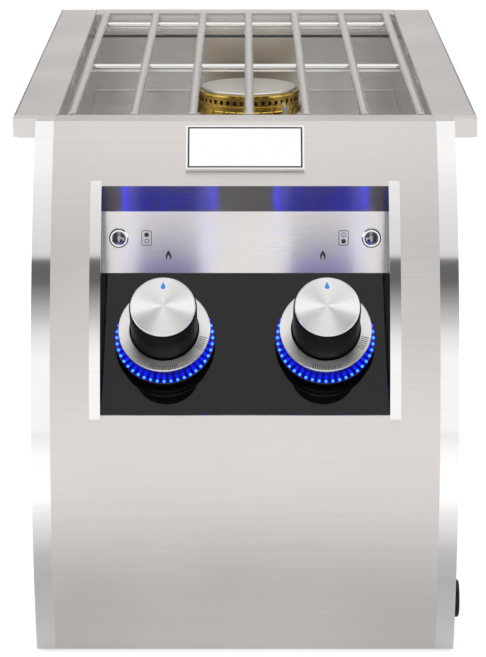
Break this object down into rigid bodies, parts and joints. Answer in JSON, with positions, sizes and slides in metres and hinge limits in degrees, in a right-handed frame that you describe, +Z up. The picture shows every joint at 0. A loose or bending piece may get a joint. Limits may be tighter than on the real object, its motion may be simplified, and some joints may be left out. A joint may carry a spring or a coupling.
{
  "type": "built in side burner",
  "caption": "Drop-in gas side burner with a folded deck flange, a rod grate over round brass burners, a bowed steel face and lit push-and-turn knobs.",
  "frame": {"origin": "middle of the overall box, on the plane that the base stands on", "axes": "+X to the right seen from the front, +Y to the back, +Z up"},
  "size_m": [0.305, 0.622, 0.34],
  "materials": {
    "brushed_steel": "fine horizontal brushing",
    "polished_steel": "mirror polished",
    "pan_steel": "bright rolled sheet",
    "rod_steel": "drawn and satin finished",
    "bright_rod": "polished",
    "galvanised_steel": "plain sheet, satin",
    "black_glass": "glossy black glass",
    "black_gloss": "glossy moulding",
    "black_satin": "satin moulding",
    "dark_recess": "dark satin",
    "spun_aluminium": "spun, fine turning lines",
    "light_guide": "clear blue-lit acrylic",
    "blue_inlay": "gloss",
    "lamp_glass": "clear dome over a bright reflector",
    "badge_face": "smooth, blank",
    "badge_line": "gloss",
    "brass": "turned, bright",
    "cast_alloy": "as cast",
    "cap_steel": "satin, slightly heat tinted",
    "feed_aluminium": "drawn tube",
    "black_pipe": "black oxide",
    "spring_steel": "drawn wire",
    "ceramic": "glazed ceramic",
    "screw_steel": "bright"
  },
  "bodies": {
    "root": {"deck_flange_right": "brushed_steel", "deck_flange_left": "brushed_steel", "deck_flange_rear": "brushed_steel", "front_face": "brushed_steel", "face_trim_right": "polished_steel", "face_trim_left": "polished_steel", "recess_rail_right": "polished_steel", "recess_rail_left": "polished_steel", "recess_soffit": "polished_steel", "label_strip": "brushed_steel", "control_glass": "black_glass", "recess_cheeks": "dark_recess", "lamp_bezels": "polished_steel", "lamp_lenses": "lamp_glass", "badge_plate": "badge_face", "badge_border": "badge_line", "led_bezels": "black_gloss", "light_rings": "light_guide", "dials": "spun_aluminium", "valve_bonnets": "brass", "valve_bodies": "brass", "gas_manifold": "galvanised_steel", "inlet_pipe": "black_pipe", "inlet_coupling": "black_pipe", "feed_tube_front": "feed_aluminium", "feed_tube_rear": "feed_aluminium", "igniter_brackets": "brass", "igniter_electrodes": "ceramic", "burner_pan": "pan_steel", "grate_rest_front": "pan_steel", "grate_rest_rear": "pan_steel", "side_panel_right": "galvanised_steel", "side_panel_left": "galvanised_steel", "base_panel": "galvanised_steel", "back_panel": "galvanised_steel", "heat_shield": "galvanised_steel", "ignition_module": "black_satin", "lamp_driver": "black_satin", "chassis_screws": "screw_steel", "burner_rings": "brass", "burner_bases": "cast_alloy", "mixing_tubes": "galvanised_steel", "orifices": "brass", "return_spring_left": "spring_steel", "return_spring_right": "spring_steel"},
    "grate": {"grate_bars": "rod_steel", "grate_cross_rods": "bright_rod"},
    "front_burner_cap": {"burner_cap_front": "cap_steel"},
    "rear_burner_cap": {"burner_cap_rear": "cap_steel"},
    "rotor_left": {"valve_rotor_left": "brass"},
    "knob_left": {"knob_barrel_left": "black_gloss", "knob_cap_left": "spun_aluminium", "knob_pointer_left": "blue_inlay", "valve_stem_left": "screw_steel"},
    "rotor_right": {"valve_rotor_right": "brass"},
    "knob_right": {"knob_barrel_right": "black_gloss", "knob_cap_right": "spun_aluminium", "knob_pointer_right": "blue_inlay", "valve_stem_right": "screw_steel"}
  },
  "joints": [
    {"name": "grate_lift", "type": "slide", "parent": "root", "child": "grate", "axis": [0, 0, 1], "range_m": [0, 0.12]},
    {"name": "front_cap_lift", "type": "slide", "parent": "root", "child": "front_burner_cap", "axis": [0, 0, 1], "range_m": [0, 0.018]},
    {"name": "rear_cap_lift", "type": "slide", "parent": "root", "child": "rear_burner_cap", "axis": [0, 0, 1], "range_m": [0, 0.018]},
    {"name": "knob_left_turn", "type": "hinge", "parent": "root", "child": "rotor_left", "pos_m": [-0.0515, -0.25746, 0.20295], "axis": [0, -0.766, 0.6428], "range_deg": [0, 240]},
    {"name": "knob_left_push", "type": "slide", "parent": "rotor_left", "child": "knob_left", "axis": [0, 0.766, -0.6428], "range_m": [0, 0.004], "stiffness_N_per_m": 700, "springref_m": -0.004, "deforming": ["return_spring_left"]},
    {"name": "knob_right_turn", "type": "hinge", "parent": "root", "child": "rotor_right", "pos_m": [0.0515, -0.25746, 0.20295], "axis": [0, -0.766, 0.6428], "range_deg": [0, 240]},
    {"name": "knob_right_push", "type": "slide", "parent": "rotor_right", "child": "knob_right", "axis": [0, 0.766, -0.6428], "range_m": [0, 0.004], "stiffness_N_per_m": 700, "springref_m": -0.004, "deforming": ["return_spring_right"]}
  ]
}
